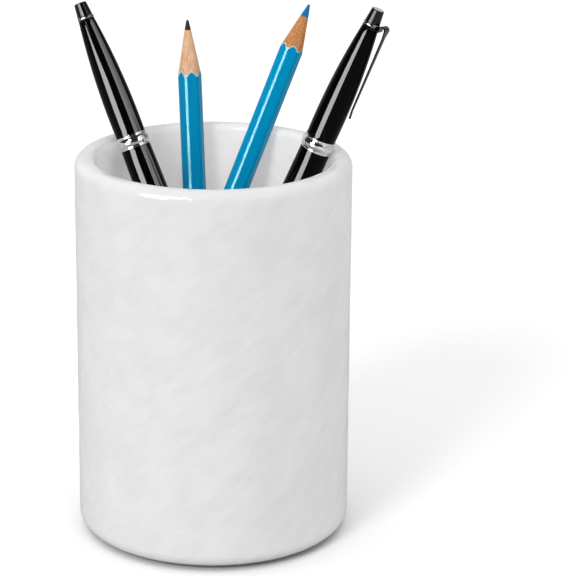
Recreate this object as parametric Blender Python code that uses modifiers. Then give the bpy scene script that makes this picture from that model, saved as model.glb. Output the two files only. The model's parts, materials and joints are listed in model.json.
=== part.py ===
"""A glazed ceramic pen cup on a soft base pad, holding two twist pens and two pencils.

Metres, +Z up. The origin is the middle of the pad's underside. The cup is seen from -Y, with
+X to the right. Each pen or pencil is modelled along its own +Z, from its lower end upwards,
under an empty that stands it on the cup's floor and leans it against the rim.
"""

import math

import bmesh
import bpy
from mathutils import Matrix, Vector

# Clearances
PRESS_GAP = 0.00005
RUNNING_GAP = 0.00012
REST_GAP = 0.0003

# Cup, a thrown cylinder with a full-round rim
CUP_RADIUS = 0.040
CUP_HEIGHT = 0.1134
CUP_WALL = 0.006
CUP_FLOOR = 0.0124
FOOT_FILLET = 0.004
FLOOR_FILLET = 0.006

# Base pad, a disc glued into a recess under the cup
PAD_RADIUS = 0.034
PAD_THICKNESS = 0.0024
PAD_PROUD = 0.0010
PAD_CHAMFER = 0.0003

# Pen refill
BALL_RADIUS = 0.0003
POINT_RADIUS = 0.0006
POINT_TAPER = 0.0010
POINT_OUT = 0.0024
REFILL_RADIUS = 0.0014
REFILL_SHOULDER = 0.0012
NECK_RADIUS = 0.0008
NECK_LENGTH = 0.0040
REFILL_TRAVEL = 0.005

# Pen nose cone
NOSE_LENGTH = 0.014
NOSE_MOUTH_RADIUS = 0.0012
NOSE_TOP_RADIUS = 0.0031
NOSE_BULGE = 0.00025
NOSE_LAND = 0.0065
SPIGOT_LENGTH = 0.005

# Pen lower barrel, a long cigar that ends under the band
BARREL_BORE = 0.0025
LOWER_BELLY_RADIUS = 0.0047
LOWER_BELLY_DROP = 0.020
LOWER_TOP_RADIUS = 0.00445

# Pen centre band, which lies on the cup's rim
BAND_RADIUS = 0.0049
BAND_HEIGHT = 0.0038
BAND_LIP = 0.0005
BAND_GROOVE = 0.00025
BAND_EDGE_RADIUS = 0.0046
BAND_BELOW_RIM = 0.0012

# Pen twist mechanism: a fixed sleeve, a turning cam and a sliding carrier with a pin
SLEEVE_WALL = 0.00035
SLEEVE_DEPTH = 0.016
SLEEVE_RISE = 0.009
CAM_WALL = 0.00033
CAM_LIFT = 0.001
CAM_HEAD = 0.003
CARRIER_LENGTH = 0.009
CARRIER_DROP = 0.012
PIN_RADIUS = 0.0004
PIN_HEIGHT = 0.0055
TWIST_ANGLE = math.pi

# Pen upper barrel, clip, ring and finial
UPPER_LENGTH = 0.0356
UPPER_FOOT_RADIUS = 0.00438
UPPER_BELLY_RADIUS = 0.00445
UPPER_BELLY_HEIGHT = 0.0085
UPPER_TOP_RADIUS = 0.00245
CLIP_THICKNESS = 0.0005
CLIP_WIDTH = 0.0024
CLIP_RISE = 0.0008
CLIP_LOOP_RADIUS = 0.00105
CLIP_LENGTH = 0.0269
CLIP_TIP_LENGTH = 0.0025
CLIP_TIP_GAP = 0.0006
CLIP_TIP_FLARE = 0.0003
RING_RADIUS = 0.0025
RING_HEIGHT = 0.0010
RING_CROWN = 0.0002
FINIAL_BASE_RADIUS = 0.0023
FINIAL_TOP_RADIUS = 0.00186
FINIAL_HEIGHT = 0.0041
FINIAL_EDGE = 0.0003
STUD_RADIUS = 0.0012
STUD_LENGTH = 0.008

# Pencils, hexagonal and lacquered
PENCIL_ACROSS_FLATS = 0.0065
LACQUER_THICKNESS = 0.00022
LEFT_PENCIL_LENGTH = 0.1333
LEFT_PENCIL_POINT = math.radians(10.6)
LEFT_CORE_RADIUS = 0.0009
RIGHT_PENCIL_LENGTH = 0.1497
RIGHT_PENCIL_POINT = math.radians(12.0)
RIGHT_CORE_RADIUS = 0.0012
TIP_RADIUS = 0.0004

# Where each tool stands: the azimuth of its foot and the distance from there to the inner wall,
# the azimuth at which it crosses the rim, and the azimuth that its local +X faces
LEFT_PEN_STAND = (math.radians(-38.5), 0.0126, math.radians(144.4), math.radians(96.0))
RIGHT_PEN_STAND = (math.radians(134.6), 0.0171, math.radians(7.7), math.radians(-20.0))
LEFT_PENCIL_STAND = (math.radians(96.4), 0.0111, math.radians(102.3), math.radians(-108.5))
RIGHT_PENCIL_STAND = (math.radians(172.9), 0.0073, math.radians(65.0), math.radians(-118.0))

# Facets
CUP_STEPS = 56
TOOL_STEPS = 24
FILLET_STEPS = 5
BULGE_STEPS = 8
LOOP_STEPS = 8
HELIX_STEPS = 20
PIN_STEPS = 12
EDGE_STEPS = 3
PENCIL_SIDES = 6
MERGE_DISTANCE = 0.000002
RIM_SAMPLES = 720
LEAN_ROUNDS = 40

# Sizes that follow from the ones above
INNER_RADIUS = CUP_RADIUS - CUP_WALL
RIM_ROUND = CUP_WALL / 2
RIM_CIRCLE = CUP_RADIUS - RIM_ROUND
RIM_CENTRE = CUP_HEIGHT - RIM_ROUND
PENCIL_CORNER = PENCIL_ACROSS_FLATS / math.sqrt(3)
PEN_SIDE = max(BAND_RADIUS, LOWER_BELLY_RADIUS, UPPER_BELLY_RADIUS)
SLEEVE_RADIUS = BARREL_BORE - PRESS_GAP
SLEEVE_BORE = SLEEVE_RADIUS - SLEEVE_WALL
CAM_RADIUS = SLEEVE_BORE - RUNNING_GAP
CAM_BORE = CAM_RADIUS - CAM_WALL
CARRIER_RADIUS = CAM_BORE - RUNNING_GAP
UPPER_BORE = SLEEVE_RADIUS + RUNNING_GAP
STUD_BORE = STUD_RADIUS + PRESS_GAP

FINISHES = {
    "glazed_white": ((0.80, 0.80, 0.79), 0.28, 0.0),
    "pad_black": ((0.03, 0.03, 0.03), 0.85, 0.0),
    "black_lacquer": ((0.008, 0.008, 0.009), 0.10, 0.0),
    "chrome": ((0.80, 0.81, 0.83), 0.08, 1.0),
    "dark_chrome": ((0.10, 0.10, 0.11), 0.12, 1.0),
    "brass": ((0.72, 0.53, 0.22), 0.30, 1.0),
    "refill_steel": ((0.55, 0.55, 0.56), 0.30, 1.0),
    "carrier_plastic": ((0.75, 0.74, 0.70), 0.45, 0.0),
    "cedar": ((0.68, 0.42, 0.24), 0.65, 0.0),
    "blue_lacquer": ((0.0, 0.27, 0.60), 0.15, 0.0),
    "graphite": ((0.05, 0.05, 0.055), 0.45, 0.0),
    "blue_core": ((0.01, 0.15, 0.50), 0.60, 0.0),
}


# Scene helpers


def clear_scene():
    for item in list(bpy.data.objects):
        bpy.data.objects.remove(item, do_unlink=True)


def new_collection(name):
    collection = bpy.data.collections.new(name)
    bpy.context.scene.collection.children.link(collection)
    return collection


def finish_material(name):
    """One Principled material for each finish, made once and shared."""
    material = bpy.data.materials.get(name)
    if material is None:
        colour, roughness, metallic = FINISHES[name]
        material = bpy.data.materials.new(name)
        material.use_nodes = True
        shader = material.node_tree.nodes["Principled BSDF"]
        shader.inputs["Base Color"].default_value = (*colour, 1.0)
        shader.inputs["Roughness"].default_value = roughness
        shader.inputs["Metallic"].default_value = metallic
    return material


def place_part(item, finish, parent=None):
    """Put a piece among the parts, with its finish, under the tool that it belongs to."""
    PARTS.objects.link(item)
    item.data.materials.append(finish_material(finish))
    item.parent = parent
    return item


def place_cutter(item, parent=None):
    """Put a shape that only cuts or joins another among the cutters."""
    CUTTERS.objects.link(item)
    item.hide_render = True
    item.display_type = "WIRE"
    item.parent = parent
    return item


def apply_boolean(item, operation, other):
    step = item.modifiers.new(operation.title(), "BOOLEAN")
    step.operation = operation
    step.solver = "EXACT"
    step.object = other


# Shape helpers


def polar(radius, azimuth, height):
    return Vector((radius * math.cos(azimuth), radius * math.sin(azimuth), height))


def arc(centre, radius, start, end, steps=FILLET_STEPS):
    """Points on an arc of a profile, with the angles in degrees from the outward direction."""
    points = []
    for step in range(steps + 1):
        angle = math.radians(start + (end - start) * step / steps)
        points.append((centre[0] + radius * math.cos(angle), centre[1] + radius * math.sin(angle)))
    return points


def swell(high, middle, low, steps=BULGE_STEPS):
    """Points down a smooth bulge through three (radius, height) points."""
    points = []
    for step in range(steps + 1):
        height = high[1] + (low[1] - high[1]) * step / steps
        radius = 0.0
        for this, one, two in ((high, middle, low), (middle, low, high), (low, high, middle)):
            share = (height - one[1]) * (height - two[1])
            share /= (this[1] - one[1]) * (this[1] - two[1])
            radius += this[0] * share
        points.append((radius, height))
    return points


def turned(name, profile, steps=TOOL_STEPS):
    """A piece turned about its Z axis.

    The (radius, height) points run down the outside. They start and end on the axis, or make a
    closed loop that comes back up the inside of a ring or a tube.
    """
    mesh = bpy.data.meshes.new(name)
    edges = [(index, index + 1) for index in range(len(profile) - 1)]
    if profile[0][0] > 0.0:
        edges.append((len(profile) - 1, 0))
    mesh.from_pydata([(radius, 0.0, height) for radius, height in profile], edges, [])
    item = bpy.data.objects.new(name, mesh)
    turn = item.modifiers.new("Turn", "SCREW")
    turn.axis = "Z"
    turn.steps = steps
    turn.render_steps = steps
    turn.use_merge_vertices = True
    turn.merge_threshold = MERGE_DISTANCE
    turn.use_smooth_shade = True
    return item


def prism(name, corner_radius, low, high, sides):
    """A straight prism about the Z axis with one of its corners towards +X."""
    shape = bmesh.new()
    middle = Matrix.Translation((0.0, 0.0, (low + high) / 2)) @ Matrix.Rotation(-math.pi / 2, 4, "Z")
    bmesh.ops.create_cone(
        shape, cap_ends=True, segments=sides, radius1=corner_radius, radius2=corner_radius,
        depth=high - low, matrix=middle)
    mesh = bpy.data.meshes.new(name)
    shape.to_mesh(mesh)
    shape.free()
    return bpy.data.objects.new(name, mesh)


def bar(name, low, high):
    """A box between two corners."""
    shape = bmesh.new()
    size = Vector(high) - Vector(low)
    middle = (Vector(high) + Vector(low)) / 2
    bmesh.ops.create_cube(shape, size=1.0, matrix=Matrix.LocRotScale(middle, None, size))
    mesh = bpy.data.meshes.new(name)
    shape.to_mesh(mesh)
    shape.free()
    return bpy.data.objects.new(name, mesh)


def helical_bar(name, near, far, height, start, rise, angle):
    """A bar of rectangular section from radius near to far that climbs while it turns."""
    shape = bmesh.new()
    section = ((near, start - height / 2), (far, start - height / 2),
               (far, start + height / 2), (near, start + height / 2))
    corners = [shape.verts.new((radius, 0.0, z)) for radius, z in section]
    face = shape.faces.new(corners)
    bmesh.ops.spin(
        shape, geom=[face], cent=(0.0, 0.0, 0.0), axis=(0.0, 0.0, 1.0),
        dvec=(0.0, 0.0, rise / HELIX_STEPS), angle=angle, steps=HELIX_STEPS, use_duplicate=False)
    bmesh.ops.recalc_face_normals(shape, faces=shape.faces)
    mesh = bpy.data.meshes.new(name)
    shape.to_mesh(mesh)
    shape.free()
    return bpy.data.objects.new(name, mesh)


def flat_strip(name, outline, width):
    """A strip whose side outline lies in the XZ plane, with its width along Y."""
    curve = bpy.data.curves.new(name, "CURVE")
    curve.dimensions = "2D"
    curve.fill_mode = "BOTH"
    curve.extrude = width / 2
    spline = curve.splines.new("POLY")
    spline.points.add(len(outline) - 1)
    for point, (x, z) in zip(spline.points, outline):
        point.co = (x, z, 0.0, 1.0)
    spline.use_cyclic_u = True
    guide = bpy.data.objects.new(name, curve)
    CUTTERS.objects.link(guide)
    guide.rotation_euler.x = math.pi / 2
    bpy.context.view_layer.update()
    depsgraph = bpy.context.evaluated_depsgraph_get()
    mesh = bpy.data.meshes.new_from_object(guide.evaluated_get(depsgraph))
    mesh.transform(guide.matrix_world)
    shape = bmesh.new()
    shape.from_mesh(mesh)
    bmesh.ops.remove_doubles(shape, verts=shape.verts, dist=MERGE_DISTANCE)
    bmesh.ops.recalc_face_normals(shape, faces=shape.faces)
    shape.to_mesh(mesh)
    shape.free()
    bpy.data.objects.remove(guide)
    return bpy.data.objects.new(name, mesh)


def offset_path(path, distance):
    """The path moved sideways by a distance, to the left of the way it runs."""
    points = []
    for index, (x, z) in enumerate(path):
        before = path[max(index - 1, 0)]
        after = path[min(index + 1, len(path) - 1)]
        run = math.hypot(after[0] - before[0], after[1] - before[1])
        points.append((x - distance * (after[1] - before[1]) / run,
                       z + distance * (after[0] - before[0]) / run))
    return points


# Leaning


def rim_meeting(foot, axis):
    """The least distance from a tool's axis to the rim's centre circle, and how far up it is."""
    meetings = []
    for sample in range(RIM_SAMPLES):
        away = polar(RIM_CIRCLE, math.tau * sample / RIM_SAMPLES, RIM_CENTRE) - foot
        along = away.dot(axis)
        meetings.append(((away - axis * along).length, along))
    return min(meetings)


def lean(stand, side_radius, foot_radius):
    """The foot, the axis and the length up to the rim of a tool that rests on floor and rim."""
    foot_azimuth, foot_inset, rim_azimuth, _ = stand
    foot = polar(INNER_RADIUS - foot_inset, foot_azimuth, CUP_FLOOR + REST_GAP)
    wanted = RIM_ROUND + REST_GAP + side_radius
    crossing = RIM_CIRCLE - wanted
    for _ in range(LEAN_ROUNDS):
        axis = (polar(crossing, rim_azimuth, RIM_CENTRE) - foot).normalized()
        foot.z = CUP_FLOOR + REST_GAP + foot_radius * math.hypot(axis.x, axis.y)
        distance, along = rim_meeting(foot, axis)
        crossing += distance - wanted
    return foot, axis, along


def tool_empty(name, stand, foot, axis):
    """The empty that carries a tool: its Z up the tool, its X towards the way it faces."""
    facing = polar(1.0, stand[3], 0.0)
    side = (facing - axis * facing.dot(axis)).normalized()
    turn = Matrix((side, axis.cross(side), axis)).transposed()
    empty = bpy.data.objects.new(name, None)
    empty.empty_display_size = CUP_RADIUS
    empty.matrix_world = Matrix.Translation(foot) @ turn.to_4x4()
    PARTS.objects.link(empty)
    return empty


# Cup


def make_cup_body():
    """The cup: floor, inner wall, rim, outer wall, foot and the recess for the pad."""
    recess_radius = PAD_RADIUS + REST_GAP
    recess_top = PAD_THICKNESS + PRESS_GAP
    profile = [(0.0, CUP_FLOOR)]
    profile += arc((INNER_RADIUS - FLOOR_FILLET, CUP_FLOOR + FLOOR_FILLET), FLOOR_FILLET, -90, 0)
    profile += arc((RIM_CIRCLE, RIM_CENTRE), RIM_ROUND, 180, 0, 2 * FILLET_STEPS)
    profile += arc((CUP_RADIUS - FOOT_FILLET, PAD_PROUD + FOOT_FILLET), FOOT_FILLET, 0, -90)
    profile += [(recess_radius, PAD_PROUD), (recess_radius, recess_top), (0.0, recess_top)]
    place_part(turned("cup_body", profile, CUP_STEPS), "glazed_white")


def make_base_pad():
    profile = [(0.0, PAD_THICKNESS), (PAD_RADIUS, PAD_THICKNESS), (PAD_RADIUS, PAD_CHAMFER),
               (PAD_RADIUS - PAD_CHAMFER, 0.0), (0.0, 0.0)]
    place_part(turned("base_pad", profile, CUP_STEPS), "pad_black")


# Pens


def make_refill(pen, heights):
    """The refill: a neck in the carrier, a tube, a shoulder, and the point."""
    shoulder = POINT_OUT + NOSE_LAND + REST_GAP
    top = heights["carrier_low"] - PRESS_GAP
    profile = [
        (0.0, top + NECK_LENGTH), (NECK_RADIUS, top + NECK_LENGTH), (NECK_RADIUS, top),
        (REFILL_RADIUS, top), (REFILL_RADIUS, shoulder + REFILL_SHOULDER), (POINT_RADIUS, shoulder),
        (POINT_RADIUS, POINT_TAPER), (BALL_RADIUS, BALL_RADIUS / 2), (0.0, 0.0)]
    place_part(turned(pen.name + "_refill", profile), "refill_steel", pen)


def make_nose_cone(pen, heights):
    """The nose: a cone that the point comes out of, with a spigot up into the barrel."""
    mouth = POINT_OUT
    top = heights["nose_top"]
    land = mouth + NOSE_LAND
    spigot = BARREL_BORE - PRESS_GAP
    point_bore = POINT_RADIUS + RUNNING_GAP
    refill_bore = REFILL_RADIUS + RUNNING_GAP
    middle = ((NOSE_TOP_RADIUS + NOSE_MOUTH_RADIUS) / 2 + NOSE_BULGE, (mouth + top) / 2)
    profile = [(spigot, top + SPIGOT_LENGTH), (spigot, top)]
    profile += swell((NOSE_TOP_RADIUS, top), middle, (NOSE_MOUTH_RADIUS, mouth), BULGE_STEPS // 2)
    profile += [(point_bore, mouth), (point_bore, land),
                (refill_bore, land), (refill_bore, top + SPIGOT_LENGTH)]
    place_part(turned(pen.name + "_nose_cone", profile), "chrome", pen)


def make_lower_barrel(pen, heights):
    low = heights["nose_top"] + PRESS_GAP
    high = heights["band_low"] - PRESS_GAP
    belly = (LOWER_BELLY_RADIUS, high - LOWER_BELLY_DROP)
    profile = swell((LOWER_TOP_RADIUS, high), belly, (NOSE_TOP_RADIUS, low))
    profile += [(BARREL_BORE, low), (BARREL_BORE, high)]
    place_part(turned(pen.name + "_lower_barrel", profile), "black_lacquer", pen)


def make_centre_band(pen, heights):
    """The band: a swelling belt between two lips, pressed over the twist sleeve."""
    low = heights["band_low"]
    high = heights["band_top"]
    bore = SLEEVE_RADIUS + PRESS_GAP
    belt_low = low + BAND_LIP + BAND_GROOVE
    belt_high = high - BAND_LIP - BAND_GROOVE
    groove = BAND_EDGE_RADIUS - BAND_GROOVE
    profile = [(BAND_EDGE_RADIUS, high), (BAND_EDGE_RADIUS, high - BAND_LIP), (groove, high - BAND_LIP)]
    profile += [(groove, belt_high)]
    profile += swell((BAND_EDGE_RADIUS, belt_high), (BAND_RADIUS, (low + high) / 2),
                     (BAND_EDGE_RADIUS, belt_low), BULGE_STEPS // 2)
    profile += [(groove, belt_low), (groove, low + BAND_LIP), (BAND_EDGE_RADIUS, low + BAND_LIP),
                (BAND_EDGE_RADIUS, low), (bore, low), (bore, high)]
    place_part(turned(pen.name + "_centre_band", profile), "chrome", pen)


def make_twist_sleeve(pen, heights):
    """The fixed sleeve, pressed into the lower barrel, with a straight slot for the pin."""
    low = heights["band_low"] - SLEEVE_DEPTH
    high = heights["sleeve_top"]
    profile = [(SLEEVE_RADIUS, high), (SLEEVE_RADIUS, low), (SLEEVE_BORE, low), (SLEEVE_BORE, high)]
    sleeve = place_part(turned(pen.name + "_twist_sleeve", profile), "brass", pen)
    half = PIN_RADIUS + RUNNING_GAP
    slot = bar(pen.name + "_pin_slot", (0.0, -half, heights["pin"] - half),
               (BARREL_BORE, half, heights["pin"] + REFILL_TRAVEL + half))
    apply_boolean(sleeve, "DIFFERENCE", place_cutter(slot, pen))


def make_twist_cam(pen, heights):
    """The cam: a tube in the sleeve, its head fast in the upper barrel, with a helical slot."""
    low = heights["band_low"] - SLEEVE_DEPTH + CAM_LIFT
    head_low = heights["sleeve_top"] + RUNNING_GAP
    head_radius = UPPER_BORE - PRESS_GAP
    profile = [
        (0.0, heights["head_top"]), (head_radius, heights["head_top"]), (head_radius, head_low),
        (CAM_RADIUS, head_low), (CAM_RADIUS, low), (CAM_BORE, low), (CAM_BORE, head_low), (0.0, head_low)]
    cam = place_part(turned(pen.name + "_twist_cam", profile), "brass", pen)
    slope = REFILL_TRAVEL / TWIST_ANGLE
    lead = 2 * (PIN_RADIUS + RUNNING_GAP) / CAM_BORE
    height = 2 * (PIN_RADIUS + RUNNING_GAP) * math.hypot(1.0, slope / CAM_BORE)
    slot = helical_bar(
        pen.name + "_helical_slot", CARRIER_RADIUS, SLEEVE_BORE, height,
        heights["pin"] - lead * slope, REFILL_TRAVEL + 2 * lead * slope, -TWIST_ANGLE - 2 * lead)
    slot.rotation_euler.z = lead
    apply_boolean(cam, "DIFFERENCE", place_cutter(slot, pen))


def make_refill_carrier(pen, heights):
    """The carrier: a plug that holds the refill's neck, with a pin through both slots."""
    low = heights["carrier_low"]
    high = low + CARRIER_LENGTH
    socket = NECK_RADIUS + PRESS_GAP
    socket_top = low + NECK_LENGTH
    profile = [(0.0, high), (CARRIER_RADIUS, high), (CARRIER_RADIUS, low), (socket, low),
               (socket, socket_top), (0.0, socket_top)]
    carrier = place_part(turned(pen.name + "_refill_carrier", profile), "carrier_plastic", pen)
    pin = prism(pen.name + "_carrier_pin", PIN_RADIUS, CARRIER_RADIUS / 2, SLEEVE_RADIUS, PIN_STEPS)
    pin.location.z = heights["pin"]
    pin.rotation_euler.y = math.pi / 2
    apply_boolean(carrier, "UNION", place_cutter(pin, pen))


def make_upper_barrel(pen, heights):
    """The upper barrel turns on the sleeve, holds the cam's head and takes the finial's stud."""
    low = heights["band_top"] + RUNNING_GAP
    high = heights["upper_top"]
    seat = heights["head_top"] + PRESS_GAP
    profile = swell((UPPER_TOP_RADIUS, high), (UPPER_BELLY_RADIUS, low + UPPER_BELLY_HEIGHT),
                    (UPPER_FOOT_RADIUS, low))
    profile += [(UPPER_BORE, low), (UPPER_BORE, seat), (STUD_BORE, seat), (STUD_BORE, high)]
    place_part(turned(pen.name + "_upper_barrel", profile), "black_lacquer", pen)


def make_clip(pen, heights):
    """The clip: a washer under the ring, a loop beside it and a long sprung arm."""
    low = heights["upper_top"] + PRESS_GAP
    high = heights["clip_top"]
    middle = (low + high) / 2
    profile = [(UPPER_TOP_RADIUS, high), (UPPER_TOP_RADIUS, low), (STUD_BORE, low), (STUD_BORE, high)]
    clip = place_part(turned(pen.name + "_clip", profile), "dark_chrome", pen)
    leg_radius = RING_RADIUS + REST_GAP + CLIP_THICKNESS / 2
    loop_centre = (leg_radius + CLIP_LOOP_RADIUS, middle + CLIP_RISE)
    tip_radius = UPPER_BELLY_RADIUS + CLIP_TIP_GAP + CLIP_THICKNESS / 2
    path = [((STUD_BORE + UPPER_TOP_RADIUS) / 2, middle), (leg_radius, middle)]
    path += arc(loop_centre, CLIP_LOOP_RADIUS, 180, 0, LOOP_STEPS)
    path += [(tip_radius, middle - CLIP_LENGTH + CLIP_TIP_LENGTH),
             (tip_radius + CLIP_TIP_FLARE, middle - CLIP_LENGTH)]
    half = CLIP_THICKNESS / 2
    outline = offset_path(path, half) + offset_path(path, -half)[::-1]
    arm = flat_strip(pen.name + "_clip_arm", outline, CLIP_WIDTH)
    apply_boolean(clip, "UNION", place_cutter(arm, pen))


def make_finial_ring(pen, heights):
    low = heights["clip_top"] + PRESS_GAP
    high = heights["ring_top"]
    edge = RING_RADIUS - RING_CROWN
    profile = swell((edge, high), (RING_RADIUS, (low + high) / 2), (edge, low), BULGE_STEPS // 2)
    profile += [(STUD_BORE, low), (STUD_BORE, high)]
    place_part(turned(pen.name + "_finial_ring", profile), "dark_chrome", pen)


def make_finial(pen, heights):
    """The finial: a short tapered cap whose stud screws into the upper barrel."""
    low = heights["ring_top"] + PRESS_GAP
    high = heights["finial_top"]
    foot = heights["upper_top"] - STUD_LENGTH
    profile = [(0.0, high)]
    profile += arc((FINIAL_TOP_RADIUS - FINIAL_EDGE, high - FINIAL_EDGE), FINIAL_EDGE, 90, 0, EDGE_STEPS)
    profile += [(FINIAL_BASE_RADIUS, low), (STUD_RADIUS, low), (STUD_RADIUS, foot), (0.0, foot)]
    place_part(turned(pen.name + "_finial", profile), "dark_chrome", pen)


def pen_heights(band_low):
    """The levels along a pen, worked out from the level of its band."""
    heights = {"band_low": band_low, "band_top": band_low + BAND_HEIGHT}
    heights["nose_top"] = POINT_OUT + NOSE_LENGTH
    heights["carrier_low"] = band_low - CARRIER_DROP
    heights["pin"] = heights["carrier_low"] + PIN_HEIGHT
    heights["sleeve_top"] = heights["band_top"] + SLEEVE_RISE
    heights["head_top"] = heights["sleeve_top"] + RUNNING_GAP + CAM_HEAD
    heights["upper_top"] = heights["band_top"] + RUNNING_GAP + UPPER_LENGTH
    heights["clip_top"] = heights["upper_top"] + PRESS_GAP + CLIP_THICKNESS
    heights["ring_top"] = heights["clip_top"] + PRESS_GAP + RING_HEIGHT
    heights["finial_top"] = heights["ring_top"] + PRESS_GAP + FINIAL_HEIGHT
    return heights


def make_pens(stands):
    """Like pens, whose bands lie on the rim where the pens cross it."""
    poses = {name: lean(stand, PEN_SIDE, BALL_RADIUS) for name, stand in stands.items()}
    reach = sum(pose[2] for pose in poses.values()) / len(poses)
    heights = pen_heights(reach - BAND_BELOW_RIM)
    for name, stand in stands.items():
        foot, axis, _ = poses[name]
        pen = tool_empty(name, stand, foot, axis)
        make_refill(pen, heights)
        make_nose_cone(pen, heights)
        make_lower_barrel(pen, heights)
        make_centre_band(pen, heights)
        make_twist_sleeve(pen, heights)
        make_twist_cam(pen, heights)
        make_refill_carrier(pen, heights)
        make_upper_barrel(pen, heights)
        make_clip(pen, heights)
        make_finial_ring(pen, heights)
        make_finial(pen, heights)


# Pencils


def sharpener(name, length, point_angle, pencil):
    """The space that a sharpened pencil fits: a cone above a wide shank."""
    slope = math.tan(point_angle)
    apex = length + TIP_RADIUS / slope
    shank = 2 * PENCIL_CORNER
    profile = [(0.0, apex), (shank, apex - shank / slope), (shank, -shank), (0.0, -shank)]
    return place_cutter(turned(name, profile), pencil)


def make_pencil(name, stand, length, point_angle, core_radius, core_finish):
    """A pencil: core, cedar casing and lacquer, all sharpened to one cone."""
    foot, axis, _ = lean(stand, PENCIL_CORNER, PENCIL_CORNER)
    pencil = tool_empty(name, stand, foot, axis)
    cone = sharpener(name + "_sharpener", length, point_angle, pencil)
    casing_corner = PENCIL_CORNER - (LACQUER_THICKNESS + PRESS_GAP) * 2 / math.sqrt(3)
    inside_corner = PENCIL_CORNER - LACQUER_THICKNESS * 2 / math.sqrt(3)

    casing = prism(name + "_casing", casing_corner, 0.0, length, PENCIL_SIDES)
    place_part(casing, "cedar", pencil)
    bore = prism(name + "_core_bore", core_radius + PRESS_GAP, -length, 2 * length, TOOL_STEPS)
    apply_boolean(casing, "INTERSECT", cone)
    apply_boolean(casing, "DIFFERENCE", place_cutter(bore, pencil))

    lacquer = prism(name + "_lacquer", PENCIL_CORNER, 0.0, length, PENCIL_SIDES)
    place_part(lacquer, "blue_lacquer", pencil)
    inside = prism(name + "_inside", inside_corner, -length, 2 * length, PENCIL_SIDES)
    apply_boolean(lacquer, "DIFFERENCE", place_cutter(inside, pencil))
    apply_boolean(lacquer, "INTERSECT", cone)

    shoulder = length - (core_radius - TIP_RADIUS) / math.tan(point_angle)
    profile = [(0.0, length), (TIP_RADIUS, length), (core_radius, shoulder), (core_radius, 0.0), (0.0, 0.0)]
    place_part(turned(name + "_core", profile), core_finish, pencil)


clear_scene()
PARTS = new_collection("pen_cup")
CUTTERS = new_collection("pen_cup_cutters")
make_cup_body()
make_base_pad()
make_pens({"left_pen": LEFT_PEN_STAND, "right_pen": RIGHT_PEN_STAND})
make_pencil("left_pencil", LEFT_PENCIL_STAND, LEFT_PENCIL_LENGTH, LEFT_PENCIL_POINT,
            LEFT_CORE_RADIUS, "graphite")
make_pencil("right_pencil", RIGHT_PENCIL_STAND, RIGHT_PENCIL_LENGTH, RIGHT_PENCIL_POINT,
            RIGHT_CORE_RADIUS, "blue_core")
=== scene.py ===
"""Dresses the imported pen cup: a glazed cup on a rubber pad, twist pens and sharpened pencils.

Metres, +Z up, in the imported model's own frame. The camera looks from -Y, with +X to its right.
Each pen or pencil is modelled upright along its own +Z and then stood in its place.
"""

import json
import math

import bmesh
import bpy
from mathutils import Matrix, Vector

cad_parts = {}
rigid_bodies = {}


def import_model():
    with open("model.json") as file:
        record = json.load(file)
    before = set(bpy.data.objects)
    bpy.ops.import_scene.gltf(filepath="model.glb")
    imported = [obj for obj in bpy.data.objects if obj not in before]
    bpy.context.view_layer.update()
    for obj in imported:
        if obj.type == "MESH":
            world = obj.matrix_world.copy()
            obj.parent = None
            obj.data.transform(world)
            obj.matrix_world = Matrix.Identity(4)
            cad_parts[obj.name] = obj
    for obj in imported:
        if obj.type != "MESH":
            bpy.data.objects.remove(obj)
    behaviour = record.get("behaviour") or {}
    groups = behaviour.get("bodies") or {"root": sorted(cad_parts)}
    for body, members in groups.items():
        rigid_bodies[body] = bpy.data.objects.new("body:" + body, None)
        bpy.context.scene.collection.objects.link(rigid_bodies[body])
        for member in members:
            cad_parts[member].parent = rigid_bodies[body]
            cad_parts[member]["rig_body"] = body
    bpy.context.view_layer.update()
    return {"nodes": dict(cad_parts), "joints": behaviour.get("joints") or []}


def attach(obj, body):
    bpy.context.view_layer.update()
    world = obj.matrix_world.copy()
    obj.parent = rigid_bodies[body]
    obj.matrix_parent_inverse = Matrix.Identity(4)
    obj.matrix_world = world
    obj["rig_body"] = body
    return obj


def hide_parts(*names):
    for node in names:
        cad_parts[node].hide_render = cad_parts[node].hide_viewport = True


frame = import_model()

bl_info = {
    "name": "Pen Cup",
    "version": (1, 0, 0),
    "blender": (4, 5, 0),
    "location": "3D View > Sidebar > Pen Cup",
    "description": "Models and finishes a pen cup with its pens and pencils over the packed frame",
    "category": "Object",
}

PENS = ("left_pen", "right_pen")
PENCILS = ("left_pencil", "right_pencil")
CUP_ONLY = ("glazed_cup",)

# How fine the meshes are
CUP_SIDES = 192
TOOL_SIDES = 96
WALL_RINGS = 72
BULGE_STEPS = 24
ARC_STEPS = 8
EDGE_STEPS = 3
LOOP_STEPS = 20

# A pencil's hexagon, its corner's reach for each unit across, and the angle where its tip's round ends
PENCIL_SIDES = 6
HEXAGON_CORNER = 2 / math.sqrt(3)
TIP_ROUND_END = 15

# What counts as one place, one level, a smooth or straight bend, and a face's or corner's direction
MERGE_DISTANCE = 0.000001
SAME_DIGITS = 6
SAME_LEVEL = 0.00001
SMOOTH_ANGLE = math.radians(30)
STRAIGHT_ANGLE = math.radians(150)
NEARLY_FURTHEST = 0.85
NEARLY_ALONG = 0.9
LEVEL_FACE = 0.99

# Clearances between neighbouring pieces
PRESS_GAP = 0.00005
RUNNING_GAP = 0.00012
REST_GAP = 0.0003

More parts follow.
